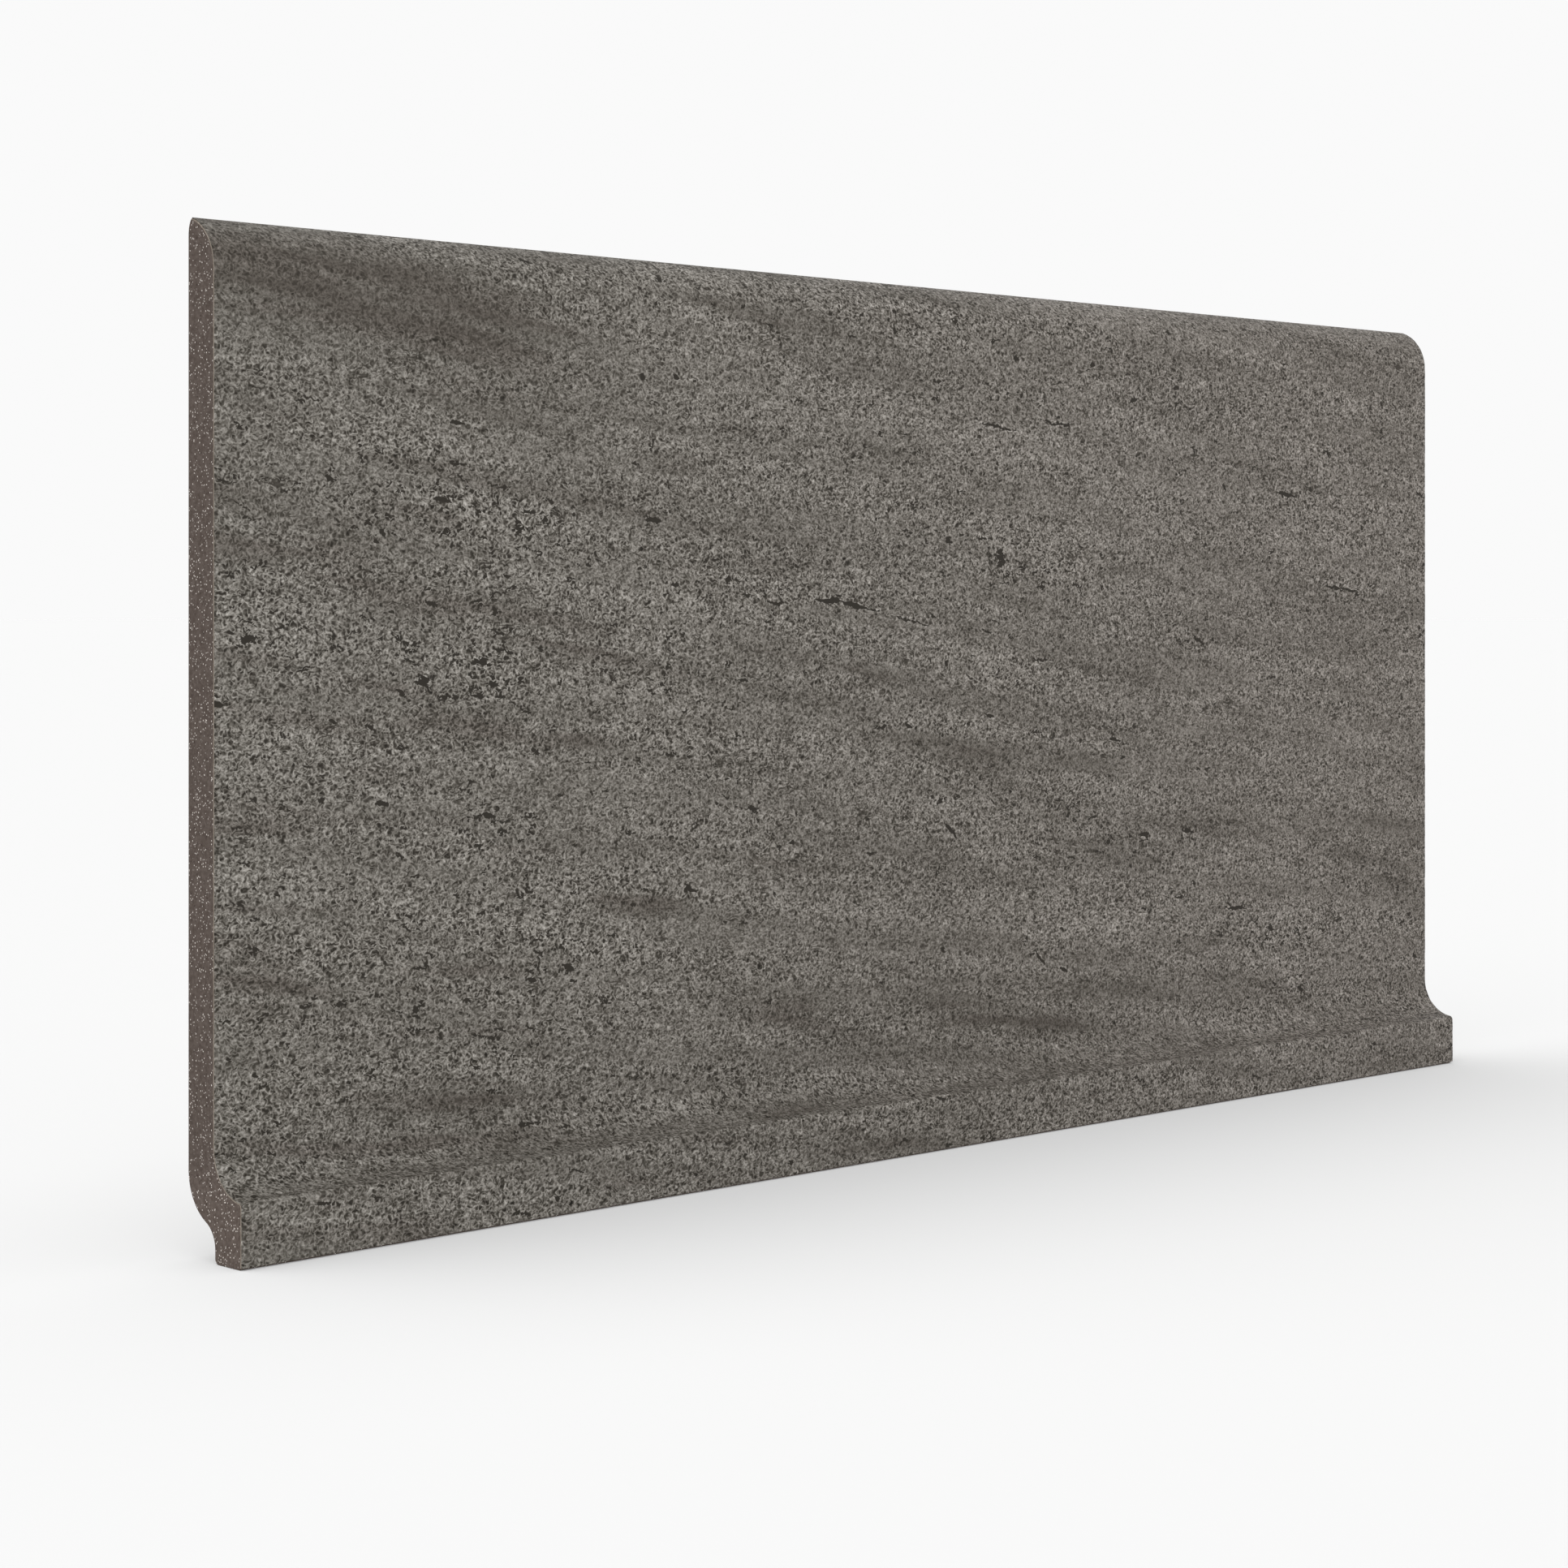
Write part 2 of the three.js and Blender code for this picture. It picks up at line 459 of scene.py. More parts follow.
def outward(outline):
    """Unit normals of an outline that runs anticlockwise round the solid: each point's tangent,
    from its neighbours, turned a quarter turn to the right."""
    tangent = np.gradient(outline, axis=0)
    tangent /= np.linalg.norm(tangent, axis=1, keepdims=True)
    return np.column_stack([tangent[:, 1], -tangent[:, 0]])


def placed(along, section):
    """Points in the tile's frame: along is X, out is -Y, and up is Z above the floor."""
    out, up = section[..., 0], section[..., 1]
    along = np.broadcast_to(along, out.shape)
    return np.stack([along, -out, up + BODY_LOW[2]], axis=-1)


def add_tube(name, grid, material, node):
    """A closed piece from a grid of points: stations along the tile by points round the section.

    Each section runs anticlockwise in out and up. Neighbouring stations are joined by
    four-sided faces, the last point round the section joins the first, and one face closes
    each end.
    """
    stations, around = grid.shape[:2]
    index = np.arange(stations * around).reshape(stations, around)
    after = np.roll(index, -1, axis=1)
    sides = np.stack([index[:-1], index[1:], after[1:], after[:-1]], axis=-1).reshape(-1, 4)
    faces = [*sides.tolist(), index[0].tolist(), index[-1, ::-1].tolist()]
    mesh = bpy.data.meshes.new(name)
    mesh.from_pydata(grid.reshape(-1, 3), [], faces)
    mesh.shade_smooth()
    mesh.set_sharp_from_angle(angle=SHARP_ANGLE)
    mesh.materials.append(material)
    piece = bpy.data.objects.new(name, mesh)
    bpy.context.scene.collection.objects.link(piece)
    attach(piece, "root")
    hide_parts(node)
    return piece


def store(mesh, name, values):
    """Keeps one number for each point of a mesh, for its material to read."""
    field = mesh.attributes.new(name, "FLOAT", "POINT")
    field.data.foreach_set("value", values.astype(np.float32).ravel())


# ---------------------------------------------------------------- fields

# Reach of a stroke, as a share of its length and of its width
STROKE_REACH_ALONG = 0.45
STROKE_REACH_ACROSS = 0.36
# What a place far from every fissure is given, and how wide a fissure's own stretch is, in mm
FAR_FROM_FISSURES = 5.0
FISSURE_SIDE = 1.0
WAVE_TILT = 0.12  # how steeply the waves of the relief fall along the tile


def smooth_steps(share):
    """Zero below 0, one above 1, and three squares less two cubes between."""
    share = np.clip(share, 0, 1)
    return share * share * (3 - 2 * share)


def soft_noise(along, up, cell_along, cell_up, seed):
    """Random numbers from -1 to 1 on a lattice of cells, smoothly blended between corners."""
    a, u = along / cell_along, up / cell_up
    low_a, low_u = math.floor(a.min()), math.floor(u.min())
    shape = (math.ceil(a.max()) - low_a + 2, math.ceil(u.max()) - low_u + 2)
    lattice = np.random.default_rng(seed).uniform(-1, 1, shape)
    i, j = np.floor(a).astype(int), np.floor(u).astype(int)
    s, t = smooth_steps(a - i), smooth_steps(u - j)
    i, j = i - low_a, j - low_u
    near = lattice[i, j] * (1 - s) + lattice[i + 1, j] * s
    far = lattice[i, j + 1] * (1 - s) + lattice[i + 1, j + 1] * s
    return near * (1 - t) + far * t


def stroke_field(along, up, strokes):
    """Sum of soft ovals: strength times e to the power of minus half of a to the fourth plus b
    squared, where a and b are the distances along and across, as shares of the oval's reach."""
    total = np.zeros(along.shape)
    for centre_along, centre_up, length, width, slope, strength in strokes:
        angle = math.radians(slope)
        x, y = along - centre_along, up - centre_up
        a = (x * math.cos(angle) + y * math.sin(angle)) / (STROKE_REACH_ALONG * length)
        b = (y * math.cos(angle) - x * math.sin(angle)) / (STROKE_REACH_ACROSS * width)
        total += strength * np.exp(-0.5 * (a**4 + b * b))
    return total


def fissure_fields(along, up):
    """Signed distance in mm from the nearest fissure's line, and its half width there.

    The half width is greatest at mid-length and falls with the square of the distance from
    it. It is below zero past the fissure's ends and more than a millimetre to its side, so
    where one fissure takes over from another there is none to see.
    """
    offset = np.full(along.shape, FAR_FROM_FISSURES)
    half = np.full(along.shape, -FISSURE_SIDE)
    best = half - offset
    for along_1, up_1, along_2, up_2, width in FISSURES:
        length = math.hypot(along_2 - along_1, up_2 - up_1)
        angle = math.atan2(up_2 - up_1, along_2 - along_1)
        x, y = along - (along_1 + along_2) / 2, up - (up_1 + up_2) / 2
        a = (x * math.cos(angle) + y * math.sin(angle)) / (length / 2)
        b = y * math.cos(angle) - x * math.sin(angle)
        reach = width / 2 * (1 - a * a) - np.maximum(np.abs(b) - FISSURE_SIDE, 0)
        reach = np.maximum(reach, -FISSURE_SIDE)
        score = reach - np.abs(b)
        nearer = score > best
        offset = np.where(nearer, b, offset)
        half = np.where(nearer, reach, half)
        best = np.where(nearer, score, best)
    return np.clip(offset, -FAR_FROM_FISSURES, FAR_FROM_FISSURES), half


# ---------------------------------------------------------------- pieces


def pocket_centres(start, end, sizes):
    """Centres of equal pockets in a row that fills a stretch and is centred on it."""
    pitch = sizes.pocket_size + sizes.rib_width
    room = end - start - 2 * sizes.field_margin + sizes.rib_width
    count = math.floor(room / pitch + 1e-6)
    return (start + end) / 2 + (np.arange(count) - (count - 1) / 2) * pitch


def pocket_lines(centres, start, end, sizes):
    """Grid lines across a row of pockets: at each mouth, down its walls, round its corners, in
    the middle of each rib and at the ends of the stretch."""
    half = sizes.pocket_size / 2
    draft, corner = sizes.pocket_draft, sizes.pocket_corner
    inset = np.array([0, draft / 3, draft * 2 / 3, draft, (draft + corner) / 2, corner])
    across = np.concatenate([inset - half, [0], half - inset[::-1]])
    pitch = sizes.pocket_size + sizes.rib_width
    ribs = np.append(centres - pitch / 2, centres[-1] + pitch / 2)
    lines = [(centres[:, None] + across).ravel(), ribs, [start, end]]
    return np.unique(np.round(np.concatenate(lines), 9))


def pocket_depth(along, up, centres_along, centres_up, sizes):
    """Depth of the back below the wall plane.

    The distance to the nearest pocket's rounded square, measured inwards, rises over the
    draft as a smooth step from nothing to the full depth.
    """
    x = np.abs(along[:, None] - centres_along).min(axis=1)[:, None]
    y = np.abs(up[:, None] - centres_up).min(axis=1)[None, :]
    straight_half = sizes.pocket_size / 2 - sizes.pocket_corner
    x, y = x - straight_half, y - straight_half
    beyond = np.hypot(np.maximum(x, 0), np.maximum(y, 0))
    distance = beyond + np.minimum(np.maximum(x, y), 0) - sizes.pocket_corner
    return sizes.pocket_depth * smooth_steps(-distance / sizes.pocket_draft)


def body_grid(sizes):
    """The stoneware under the coats, with the pockets pressed into its flat back.

    The section is carried from end to end. On the back, each point moves towards the face by
    the pocket depth at its place. At both ends the rear edge is drawn in by the arris.
    """
    left, right = BODY_LOW[0], BODY_HIGH[0]
    _, upper_bend = bend_centres(sizes)
    bottom = upper_bend[1]
    top = BODY_HIGH[2] - BODY_LOW[2] - sizes.crown_drop
    centres_up = pocket_centres(bottom, top, sizes)
    centres_along = pocket_centres(left, right, sizes)
    rows = pocket_lines(centres_up, bottom, top, sizes)[1:-1]
    stations = pocket_lines(centres_along, left, right, sizes)
    stations = np.sort(np.append(stations, [left + sizes.arris, right - sizes.arris]))
    rear = rear_outline(sizes, rows)
    coats = sizes.engobe + sizes.glaze
    front = front_outline(sizes, coats, sizes.toe_height)[::-1]
    toe_front = sizes.thickness + sizes.toe_depth
    edge = np.array([[toe_front - coats - sizes.bare_edge, 0]])
    section = np.vstack([rear, edge, front])
    grid = along_length(section, stations)
    flat = slice(CROWN_SEGMENTS + 1, CROWN_SEGMENTS + 1 + len(rows))
    depth = pocket_depth(stations, rear[flat, 1], centres_along, centres_up, sizes)
    grid[:, flat, 0] += depth
    blunted = slice(1, len(rear) + 1)
    grid[[0, -1], blunted] -= outward(section)[blunted] * sizes.arris
    return placed(stations[:, None], grid)


def coat_section(sizes, outer_depth, inner_depth, spacing):
    """A coat between two depths: its inner outline down, and its outer outline back up.

    Also gives the slice of points that belong to the outer outline.
    """
    inner = front_outline(sizes, inner_depth, sizes.toe_height)
    outer = front_outline(sizes, outer_depth, spacing)[::-1]
    return np.vstack([inner, outer]), slice(len(inner), len(inner) + len(outer))


def along_length(section, stations):
    """The same section at every station: a grid of stations by points."""
    return np.broadcast_to(section, (len(stations), *section.shape)).copy()


def glaze_relief(along, up, dark, pitted, fissure_offset, fissure_half):
    """Relief of the glaze from 0 to 1, in depth below its surface.

    Low waves drawn out along the tile, hollows in the smooth streaks and where pits crowd,
    and a rounded groove along each fissure.
    """
    tilted = up + WAVE_TILT * along
    waves = soft_noise(along, tilted, 14, 3.5, 3) * 0.5
    waves = waves + soft_noise(along, tilted, 5, 1.8, 4) * 0.3
    waves = waves + soft_noise(along, up, 1.9, 1.7, 5) * 0.25
    hollow = 0.25 * np.clip(dark, 0, 1) + 0.12 * np.clip(pitted, 0, 1)
    groove = smooth_steps((fissure_half + 0.7 - np.abs(fissure_offset)) / 0.9)
    return np.clip(0.28 + 0.25 * waves + hollow + 0.8 * groove * (fissure_half > -0.3), 0, 1)


class SKIRTING_OT_body(bpy.types.Operator):
    """Builds the stoneware body with its keyed back"""

    bl_idname = "skirting.body"
    bl_label = "Stoneware Body"

    def execute(self, context):
        settings = context.scene.skirting_tile
        material = stoneware_material(settings.finish)
        grid = body_grid(settings.sizes)
        add_tube("stoneware", grid, material, "stoneware_body")
        return {"FINISHED"}


class SKIRTING_OT_engobe(bpy.types.Operator):
    """Builds the pale coat between the body and the glaze"""

    bl_idname = "skirting.engobe"
    bl_label = "Engobe"

    def execute(self, context):
        settings = context.scene.skirting_tile
        sizes = settings.sizes
        stations = np.linspace(BODY_LOW[0], BODY_HIGH[0], ENGOBE_STATIONS)
        depth = sizes.glaze + sizes.engobe
        section, _ = coat_section(sizes, sizes.glaze, depth, sizes.toe_height)
        grid = placed(stations[:, None], along_length(section, stations))
        add_tube("engobe", grid, engobe_material(settings.finish), "engobe_layer")
        return {"FINISHED"}


class SKIRTING_OT_glaze(bpy.types.Operator):
    """Builds the matte glaze with its stony relief and colour fields"""

    bl_idname = "skirting.glaze"
    bl_label = "Glaze"

    def execute(self, context):
        settings = context.scene.skirting_tile
        sizes = settings.sizes
        left, right = BODY_LOW[0], BODY_HIGH[0]
        stations = np.linspace(left, right, GLAZE_STATIONS)
        stations = np.sort(np.append(stations, [left + CHIPPED_EDGE, right - CHIPPED_EDGE]))
        section, face = coat_section(sizes, 0, sizes.glaze, GLAZE_SPACING)
        grid = along_length(section, stations)
        along = np.broadcast_to((stations[:, None] - left) / MM, grid.shape[:2])
        up = grid[..., 1] / MM
        dark = stroke_field(along, up, DARK_STROKES)
        light = stroke_field(along, up, LIGHT_STROKES)
        pitted = stroke_field(along, up, PITTED_STROKES)
        smooth = stroke_field(along, up, SMOOTH_STROKES)
        offset, half = fissure_fields(along, up)
        relief = glaze_relief(along, up, dark, pitted, offset, half)[:, face]
        chips = 0.35 + 0.35 * soft_noise(along, up, 0.3, 0.9, 6)[:, face]
        relief[[0, -1]] += chips[[0, -1]]
        from_crown = np.arange(relief.shape[1])[::-1]
        relief = np.clip(relief, 0, 1.2) * smooth_steps(from_crown / 4)
        grid[:, face] -= outward(section[face]) * relief[..., None] * sizes.relief
        grid = placed(stations[:, None], grid)
        piece = add_tube("glaze", grid, glaze_material(settings.finish), "glaze_layer")
        store(piece.data, "tone", light - dark)
        store(piece.data, "pitting", pitted - smooth)
        store(piece.data, "fissure_offset", offset)
        store(piece.data, "fissure_half", half)
        return {"FINISHED"}


# ---------------------------------------------------------------- materials

# Tones of the glaze's pattern, from 0 to 1
MIDDLE_TONE = 0.472
DARKEST_TONE = 0.27  # inside pits, dashes and fissures
PIT_EDGE = 0.025  # how softly a pit ends, in the value of its noise
FOOT_LIFT = (1.16, 1.16, 1.16, 1.0)  # how much paler the foot is made than the rest of the body


def linear(colour, change=0.0):
    """Linear red, green, blue and full alpha of a display colour, after adding a change."""
    shown = np.clip(np.array(colour[:3]) + change, 0.0, 1.0)
    low = shown / 12.92
    high = ((shown + 0.055) / 1.055) ** 2.4
    return (*np.where(shown <= 0.04045, low, high).tolist(), 1.0)


class Finish:
    """A material's node tree, with short ways to add what this tile's finishes need."""

    def __init__(self, name, **sockets):
        self.material = bpy.data.materials.new(name)
        self.material.use_nodes = True
        self.tree = self.material.node_tree
        self.shader = self.tree.nodes["Principled BSDF"]
        for socket, value in sockets.items():
            self.shader.inputs[socket.replace("_", " ")].default_value = value
        place = self.tree.nodes.new("ShaderNodeTexCoord").outputs["Object"]
        self.place = self.mapped(place, scale=(1 / MM, 1 / MM, 1 / MM))

    def put(self, node, socket, value):
        """Links a socket, or sets its value, on a node's input."""
        if isinstance(value, bpy.types.NodeSocket):
            self.tree.links.new(value, node.inputs[socket])
        else:
            node.inputs[socket].default_value = value

    def mapped(self, vector, scale=(1, 1, 1), turn=(0, 0, 0), shift=(0, 0, 0)):
        """A place stretched, turned and shifted."""
        node = self.tree.nodes.new("ShaderNodeMapping")
        self.put(node, "Vector", vector)
        node.inputs["Scale"].default_value = scale
        node.inputs["Rotation"].default_value = turn
        node.inputs["Location"].default_value = shift
        return node.outputs["Vector"]

    def part_of(self, vector, axis):
        """One coordinate of a place."""
        node = self.tree.nodes.new("ShaderNodeSeparateXYZ")
        self.put(node, "Vector", vector)
        return node.outputs[axis]

    def noise(self, per_mm, detail=0.0, rough=0.5, warp=0.0, place=None):
        """Cloudy noise, given in cells for each millimetre."""
        node = self.tree.nodes.new("ShaderNodeTexNoise")
        self.put(node, "Vector", place or self.place)
        node.inputs["Scale"].default_value = per_mm
        node.inputs["Detail"].default_value = detail
        node.inputs["Roughness"].default_value = rough
        node.inputs["Distortion"].default_value = warp
        return node.outputs["Fac"]

    def cells(self, per_mm, place=None):
        """Distance to the nearest random point, and a random colour for each point."""
        node = self.tree.nodes.new("ShaderNodeTexVoronoi")
        self.put(node, "Vector", place or self.place)
        node.inputs["Scale"].default_value = per_mm
        return node.outputs["Distance"], node.outputs["Color"]

    def field(self, name):
        """One of the numbers that the mesh keeps at its points."""
        node = self.tree.nodes.new("ShaderNodeAttribute")
        node.attribute_name = name
        return node.outputs["Fac"]

    def maths(self, operation, first, second=0.0):
        """One arithmetic step."""
        node = self.tree.nodes.new("ShaderNodeMath")
        node.operation = operation
        self.put(node, 0, first)
        if len(node.inputs) > 1:
            self.put(node, 1, second)
        return node.outputs[0]

    def centred(self, value, amount, middle=0.5):
        """A value less its middle, times an amount."""
        node = self.tree.nodes.new("ShaderNodeMath")
        node.operation = "MULTIPLY_ADD"
        self.put(node, 0, value)
        self.put(node, 1, amount)
        self.put(node, 2, -amount * middle)
        return node.outputs[0]

    def sum_of(self, *values):
        """Adds several values."""
        total = values[0]
        for value in values[1:]:
            total = self.maths("ADD", total, value)
        return total

    def ridges(self, value, sharpness):
        """One where a noise passes its middle, falling away on both sides, to a power."""
        away = self.maths("ABSOLUTE", self.centred(value, 2.0))
        return self.maths("POWER", self.maths("SUBTRACT", 1.0, away), sharpness)

    def between(self, value, start, end, low=0.0, high=1.0):
        """Goes smoothly from low to high as the value goes from start to end."""
        node = self.tree.nodes.new("ShaderNodeMapRange")
        node.interpolation_type = "SMOOTHSTEP"
        self.put(node, "Value", value)
        self.put(node, "From Min", start)
        self.put(node, "From Max", end)
        self.put(node, "To Min", low)
        self.put(node, "To Max", high)
        return node.outputs["Result"]

    def blend(self, factor, first, second, kind="MIX"):
        """Mixes two colours."""
        node = self.tree.nodes.new("ShaderNodeMix")
        node.data_type = "RGBA"
        node.blend_type = kind
        self.put(node, 0, factor)
        self.put(node, 6, first)
        self.put(node, 7, second)
        return node.outputs[2]

    def tones(self, value, stops):
        """A ramp of colours at stops from 0 to 1."""
        node = self.tree.nodes.new("ShaderNodeValToRGB")
        self.put(node, "Fac", value)
        elements = node.color_ramp.elements
        while len(elements) < len(stops):
            elements.new(0.5)
        for element, (place, colour) in zip(elements, stops, strict=True):
            element.position = place
            element.color = colour
        return node.outputs["Color"]

    def bump(self, height, depth):
        """Raises the surface by a height from 0 to 1, times a depth in metres."""
        node = self.tree.nodes.new("ShaderNodeBump")
        node.inputs["Distance"].default_value = depth
        self.put(node, "Height", height)
        self.tree.links.new(node.outputs["Normal"], self.shader.inputs["Normal"])

    def wear(self, colour, roughness):
        """Gives the shader its colour and roughness, and returns the material."""
        self.put(self.shader, "Base Color", colour)
        self.put(self.shader, "Roughness", roughness)
        return self.material


def curly_grain(m):
    """Pale curls of two sizes with dark gaps, and finer cloudy grain. Its middle is zero."""
    tilted = m.mapped(m.mapped(m.place, scale=(0.85, 1, 1)), turn=(0.62, 0.48, 0.35))
    aside = m.mapped(tilted, shift=(9, 4, 2))
    curl = m.centred(m.ridges(m.noise(1.6, warp=0.7, place=tilted), 2.5), 0.6, middle=0.52)
    wide_curl = m.centred(m.ridges(m.noise(1.0, warp=0.7, place=aside), 2.5), 0.3, middle=0.52)
    fine = m.centred(m.noise(2.4, warp=0.3, place=tilted), 0.52)
    return m.sum_of(curl, wide_curl, fine)


def drawn_streaks(m):
    """Cloudy drift drawn out along the tile, how far each place is in a dark streak, and how
    strong the grain is there."""
    drawn = m.mapped(m.mapped(m.place, turn=(0, math.radians(-7), 0)), scale=(0.1, 1, 1))
    drift = m.noise(0.22, detail=4.0, rough=0.6, warp=0.25, place=drawn)
    drift = m.maths("ADD", m.centred(drift, 0.8), m.maths("MULTIPLY", m.field("tone"), 0.19))
    streak = m.between(drift, -0.01, -0.3)
    patches = m.noise(0.2, detail=3.0, rough=0.6, place=m.mapped(drawn, shift=(31, 7, 12)))
    contrast = m.between(patches, 0.36, 0.6, 0.82, 1.19)
    contrast = m.maths("ADD", contrast, m.maths("MULTIPLY", m.field("pitting"), 0.15))
    contrast = m.maths("MULTIPLY", contrast, m.centred(streak, -0.45, middle=2.3))
    return drift, streak, contrast


def below_level(m, noise, level):
    """One where a noise is below a level, with a soft edge."""
    return m.between(noise, m.maths("SUBTRACT", level, PIT_EDGE), level, 1.0, 0.0)


def gathered_pits(m, grain):
    """Small round pits where a noise is low. The level rises and falls over patches."""
    place = m.mapped(m.mapped(m.place, scale=(0.6, 1, 1)), turn=(0.3, 0.9, 0.2), shift=(5, 3, 9))
    noise = m.noise(0.9, detail=1.5, rough=0.6, warp=0.6, place=place)
    noise = m.maths("ADD", noise, m.maths("MULTIPLY", grain, 0.25))
    gathering = m.between(m.noise(0.09, detail=2.0, place=place), 0.4, 0.6, 0.265, 0.335)
    level = m.maths("ADD", gathering, m.maths("MULTIPLY", m.field("pitting"), 0.1))
    return below_level(m, noise, level)


def drawn_dashes(m, grain):
    """Longer pits, drawn out along the tile and tilted a little."""
    place = m.mapped(m.mapped(m.place, turn=(0, math.radians(-9), 0)), scale=(0.4, 1, 1))
    noise = m.noise(0.62, detail=1.5, rough=0.6, warp=0.5, place=place)
    noise = m.maths("ADD", noise, m.maths("MULTIPLY", grain, 0.15))
    level = m.maths("ADD", m.maths("MULTIPLY", m.field("pitting"), 0.095), 0.308)
    return below_level(m, noise, level)


def hair_cracks(m):
    """Thin lines where a noise passes its middle, shown only in a few places."""
    place = m.mapped(m.place, scale=(0.28, 1, 1), turn=(0, math.radians(5), 0))
    from_line = m.maths("ABSOLUTE", m.centred(m.noise(0.8, detail=0.5, warp=0.5, place=place), 1.0))
    here = m.between(m.noise(0.22, detail=1.0), 0.62, 0.68)
    return m.maths("MULTIPLY", m.between(from_line, 0.01, 0.026, 0.7, 0.0), here)


def ragged_fissures(m):
    """The fissures, with wandering lines and ragged edges, and a pale rim beside parts of them."""
    wander = m.centred(m.noise(0.55, detail=2.0, rough=0.6), 1.6)
    offset = m.maths("ABSOLUTE", m.maths("ADD", m.field("fissure_offset"), wander))
    ragged = m.centred(m.noise(1.9), 0.5)
    half = m.maths("MULTIPLY", m.field("fissure_half"), 1.35)
    inside = m.maths("SUBTRACT", m.maths("ADD", half, ragged), offset)
    ring = m.between(inside, -0.42, -0.2, 0.0, 0.1)
    rims = m.maths("MULTIPLY", ring, m.between(wander, -0.1, 0.2))
    return m.between(inside, -0.09, 0.03), rims


def pale_flecks(m):
    """Small pale spots at a few of many random points."""
    distance, random = m.cells(0.7)
    chosen = m.between(random, 0.63, 0.66)
    return m.maths("MULTIPLY", m.between(distance, 0.08, 0.2, 0.2, 0.0), chosen)


def glaze_material(finish):
    """Matte stone-print glaze: curly pale grain with dark gaps, drawn-out streaks, pits that
    gather in patches, hair cracks, pale flecks and fissures."""
    m = Finish("stone print glaze", Specular_IOR_Level=0.25)
    drift, streak, contrast = drawn_streaks(m)
    grain = m.maths("MULTIPLY", curly_grain(m), contrast)
    shade = m.sum_of(m.centred(drift, 0.2, middle=0), m.centred(streak, -0.03))
    fissures, rims = ragged_fissures(m)
    tone = m.sum_of(m.maths("MULTIPLY", grain, 0.53), shade, MIDDLE_TONE, pale_flecks(m), rims)

    round_marks = m.maths("MAXIMUM", gathered_pits(m, grain), hair_cracks(m))
    long_marks = m.maths("MAXIMUM", drawn_dashes(m, grain), fissures)
    dark = m.maths("MAXIMUM", round_marks, long_marks)
    depth = m.maths("MULTIPLY", m.maths("SUBTRACT", tone, DARKEST_TONE), dark)
    tone = m.maths("SUBTRACT", tone, depth)

    places = (0.14, 0.26, 0.38, 0.5, 0.62, 0.76, 0.9)
    colour = m.tones(tone, [(place, linear(finish.glaze, place - 0.5)) for place in places])
    # The streak cast also grows along the tile from the left end towards the right end
    rightwards = m.between(m.part_of(m.place, "X"), -160, 160, 0.0, 0.7)
    cast = m.maths("MAXIMUM", streak, rightwards)
    colour = m.blend(cast, colour, linear(finish.streak), kind="MULTIPLY")
    m.bump(tone, 0.05 * MM)
    return m.wear(colour, m.between(tone, 0.3, 0.7, 0.72, 0.58))


def engobe_material(finish):
    """Pale matte coat seen as a thin line along cut edges, finely mottled and dusty."""
    m = Finish("engobe", Specular_IOR_Level=0.2)
    mottle = m.noise(2.4, detail=2.0, rough=0.6)
    blotch = m.noise(0.35, detail=1.0)
    value = m.maths("ADD", m.maths("MULTIPLY", mottle, 0.7), m.maths("MULTIPLY", blotch, 0.3))
    stops = [
        (0.25, linear(finish.engobe, -0.14)),
        (0.5, linear(finish.engobe)),
        (0.75, linear(finish.engobe, 0.12)),
    ]
    m.bump(mottle, 0.03 * MM)
    return m.wear(m.tones(value, stops), m.between(mottle, 0.3, 0.7, 0.9, 0.8))


def stoneware_material(finish):
    """Fired clay with fine grog: pale and dark specks in a mottled brown, and a thin pale kiln wash
    on the parts of the back that stand at the wall plane. The colour is a little paler in the foot."""
    m = Finish("fired stoneware", Specular_IOR_Level=0.2)
    clay = m.noise(1.6, detail=3.0, rough=0.6)
    clay_colour = m.tones(
        clay,
        [
            (0.3, linear(finish.body, -0.045)),
            (0.5, linear(finish.body)),
            (0.7, linear(finish.body, 0.04)),
        ],
    )
    grit_place = m.mapped(m.place, scale=(1, 1, 0.7))
    distance, random = m.cells(3.4, grit_place)
    chosen = m.between(random, 0.51, 0.62)
    specks = m.maths("MULTIPLY", m.between(distance, 0.16, 0.34, 1.0, 0.0), chosen)
    colour = m.blend(specks, clay_colour, linear(finish.speck))
    dark_distance, dark_random = m.cells(1.3)
    dark_chosen = m.between(dark_random, 0.6, 0.64)
    holes = m.maths("MULTIPLY", m.between(dark_distance, 0.1, 0.22, 1.0, 0.0), dark_chosen)
    colour = m.blend(m.maths("MULTIPLY", holes, 0.7), colour, linear(finish.body, -0.16))
    # Paler colour low in the foot, fading in from 64 to 71 mm below the origin
    foot = m.between(m.part_of(m.place, "Z"), -64, -71)
    colour = m.blend(foot, colour, FOOT_LIFT, kind="MULTIPLY")

    at_wall = m.between(m.part_of(m.place, "Y"), -0.2, -0.02)
    patchy = m.between(m.noise(0.12, detail=4.0, rough=0.65), 0.38, 0.62, 0.15, 0.85)
    colour = m.blend(m.maths("MULTIPLY", at_wall, patchy), colour, linear(finish.wash))
    m.bump(m.maths("SUBTRACT", clay, m.maths("MULTIPLY", holes, 0.6)), 0.06 * MM)
    return m.wear(colour, m.between(clay, 0.3, 0.7, 0.92, 0.82))


# ---------------------------------------------------------------- stage


def add_sun(name, towards, strength, spread, receivers):
    """A distant lamp that shines towards a direction and lights only some objects."""
    lamp = bpy.data.lights.new(name, "SUN")
    lamp.energy = strength
    lamp.angle = spread
    light = bpy.data.objects.new(name, lamp)
    light.rotation_mode = "QUATERNION"
    light.rotation_quaternion = Vector(towards).to_track_quat("-Z", "Y")
    bpy.context.scene.collection.objects.link(light)
    group = bpy.data.collections.new(name + " receivers")
    for receiver in receivers:
        group.objects.link(receiver)
    light.light_linking.receiver_collection = group


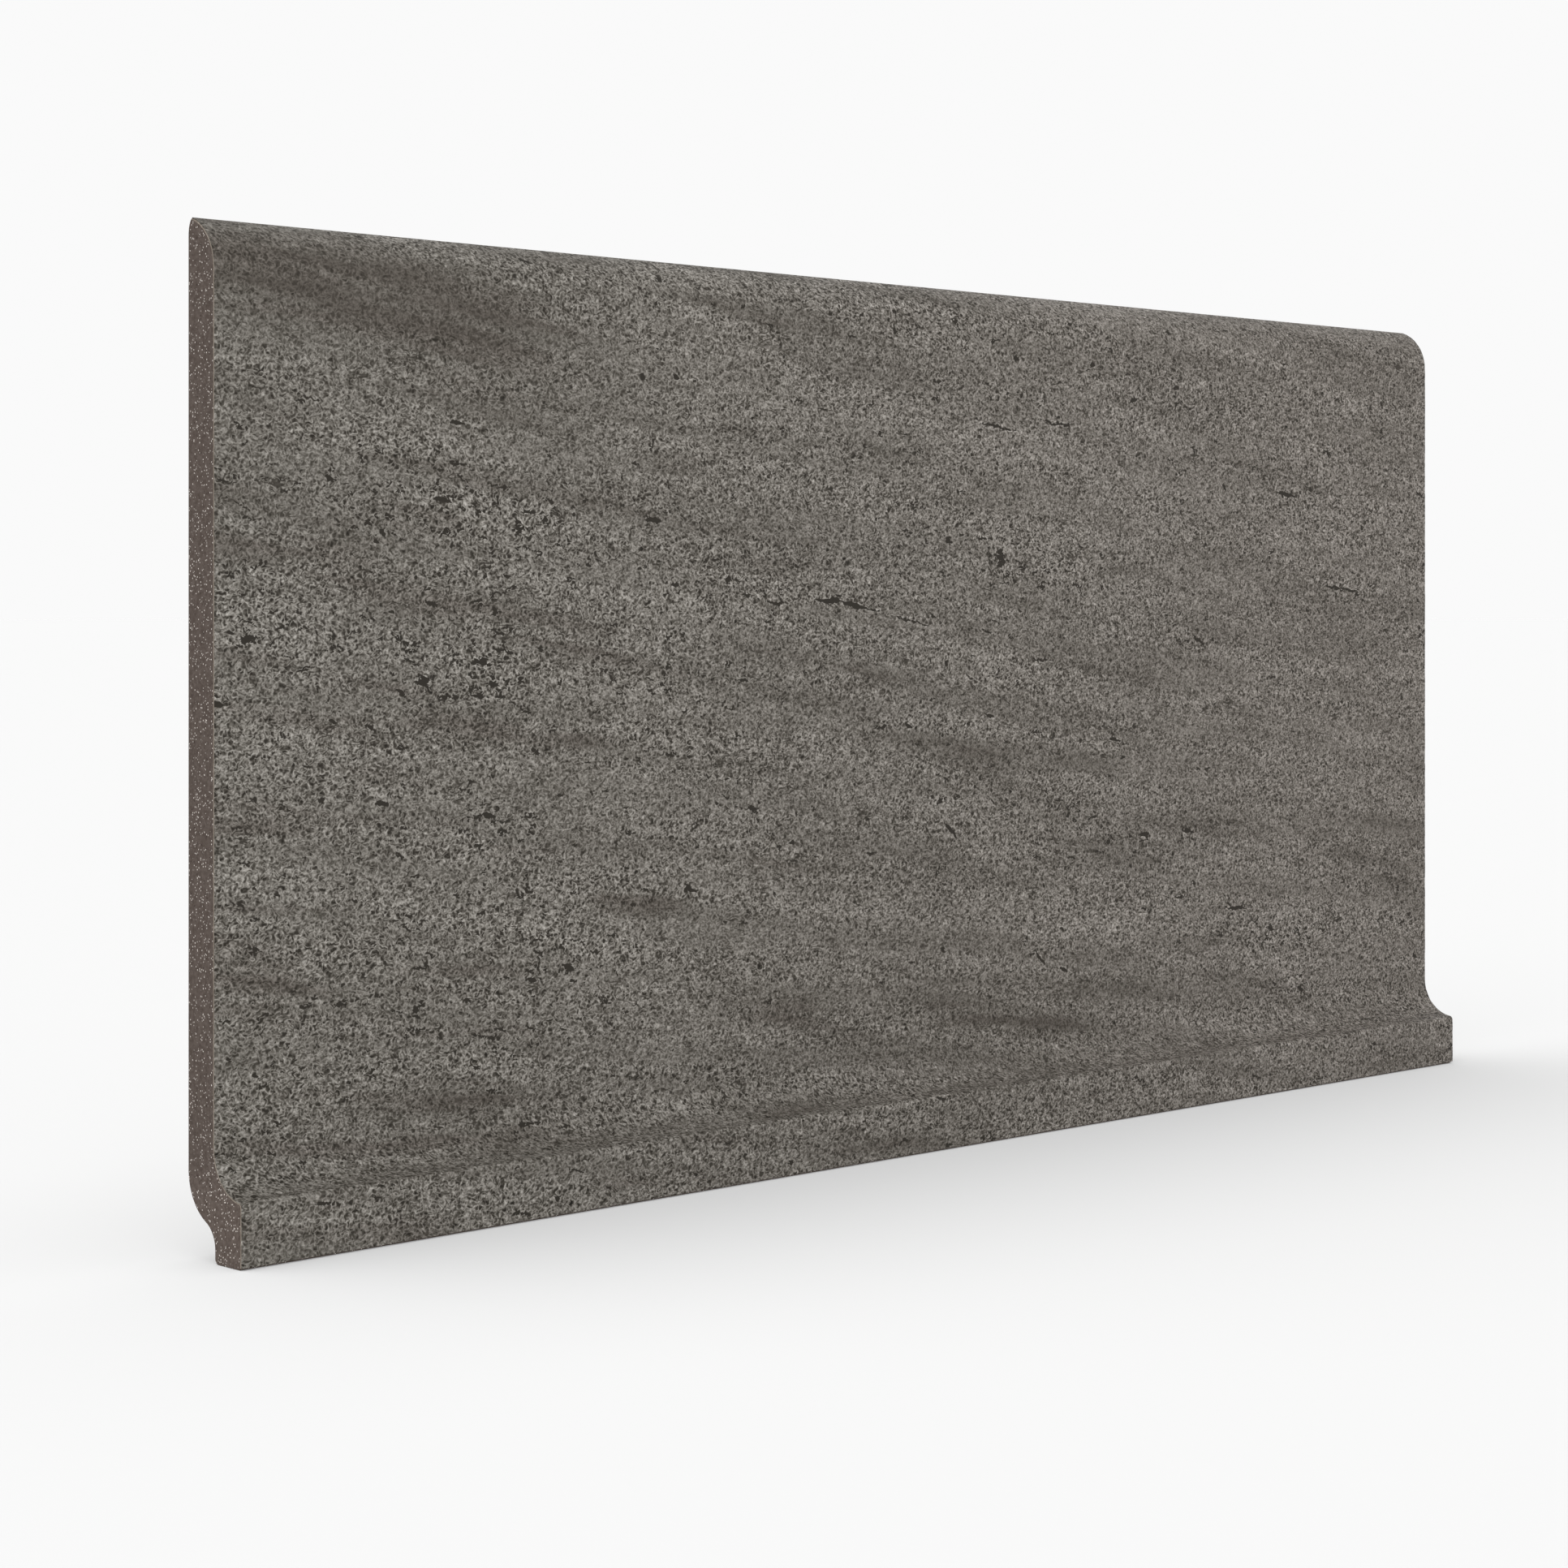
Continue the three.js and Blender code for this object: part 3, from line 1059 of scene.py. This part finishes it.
class SKIRTING_OT_stage(bpy.types.Operator):
    """Adds the floor, the even studio light and the camera"""

    bl_idname = "skirting.stage"
    bl_label = "Studio"

    def execute(self, context):
        scene = context.scene
        stage = scene.skirting_tile.stage
        scene.view_settings.view_transform = "Standard"

        world = bpy.data.worlds.new("even light tent")
        world.use_nodes = True
        tent = world.node_tree.nodes["Background"]
        tent.inputs["Color"].default_value = (1, 1, 1, 1)
        tent.inputs["Strength"].default_value = stage.backdrop
        scene.world = world

        half = stage.floor_half
        level = BODY_LOW[2]
        sides = ((-half, -half), (half, -half), (half, half), (-half, half))
        corners = [(x, y, level) for x, y in sides]
        mesh = bpy.data.meshes.new("floor")
        mesh.from_pydata(corners, [], [(0, 1, 2, 3)])
        floor = bpy.data.objects.new("floor", mesh)
        scene.collection.objects.link(floor)
        fill = stage.floor_fill
        paper = Finish("white sweep", Specular_IOR_Level=0.0, Emission_Strength=1.0)
        paper.shader.inputs["Base Color"].default_value = (fill, fill, fill, 1)
        glow = stage.backdrop * stage.floor_glow
        paper.shader.inputs["Emission Color"].default_value = (glow, glow, glow, 1)
        paper.shader.inputs["Roughness"].default_value = 1.0
        mesh.materials.append(paper.material)

        lamp_light = math.pi * stage.backdrop * (1 - stage.floor_glow - fill) / fill
        lamps = (
            ("left lamp", stage.left_lamp, stage.left_share, stage.left_spread),
            ("right lamp", stage.right_lamp, 1 - stage.left_share, stage.right_spread),
        )
        for name, place, share, spread in lamps:
            lamp = Vector(place).normalized()
            add_sun(name, -lamp, lamp_light * share / lamp.z, spread, [floor])
        body = scene.objects["stoneware"]
        towards = -Vector(stage.rake_from)
        add_sun("rear rake lamp", towards, stage.rake_strength, stage.rake_spread, [body])

        camera_data = bpy.data.cameras.new("camera")
        camera_data.lens = stage.focal_length
        camera_data.sensor_width = 36
        camera_data.shift_y = stage.lens_shift
        camera_data.clip_end = 40
        camera = bpy.data.objects.new("camera", camera_data)
        camera.location = stage.camera_place
        camera.rotation_euler = (math.pi / 2, 0, stage.camera_turn)
        scene.collection.objects.link(camera)
        scene.camera = camera
        return {"FINISHED"}


# ---------------------------------------------------------------- add-on


class SkirtingTile(bpy.types.PropertyGroup):
    """Everything a user may change"""

    sizes: PointerProperty(type=SkirtingTileSizes)
    finish: PointerProperty(type=SkirtingTileFinish)
    stage: PointerProperty(type=SkirtingTileStage)


OPERATORS = (SKIRTING_OT_body, SKIRTING_OT_engobe, SKIRTING_OT_glaze, SKIRTING_OT_stage)


class SKIRTING_PT_panel(bpy.types.Panel):
    """Lists the tile's pieces, its sizes and its colours"""

    bl_idname = "SKIRTING_PT_panel"
    bl_label = "Skirting Tile"
    bl_space_type = "VIEW_3D"
    bl_region_type = "UI"
    bl_category = "Skirting Tile"

    def draw(self, context):
        settings = context.scene.skirting_tile
        for operator in OPERATORS:
            self.layout.operator(operator.bl_idname)
        for group in (settings.sizes, settings.finish, settings.stage):
            box = self.layout.box()
            for name in group.__annotations__:
                box.prop(group, name)


CLASSES = (
    SkirtingTileSizes,
    SkirtingTileFinish,
    SkirtingTileStage,
    SkirtingTile,
    *OPERATORS,
    SKIRTING_PT_panel,
)


def register():
    for cls in CLASSES:
        bpy.utils.register_class(cls)
    bpy.types.Scene.skirting_tile = PointerProperty(type=SkirtingTile)


def unregister():
    del bpy.types.Scene.skirting_tile
    for cls in reversed(CLASSES):
        bpy.utils.unregister_class(cls)


def main():
    register()
    bpy.ops.skirting.body()
    bpy.ops.skirting.engobe()
    bpy.ops.skirting.glaze()
    bpy.ops.skirting.stage()


if __name__ == "__main__":
    main()
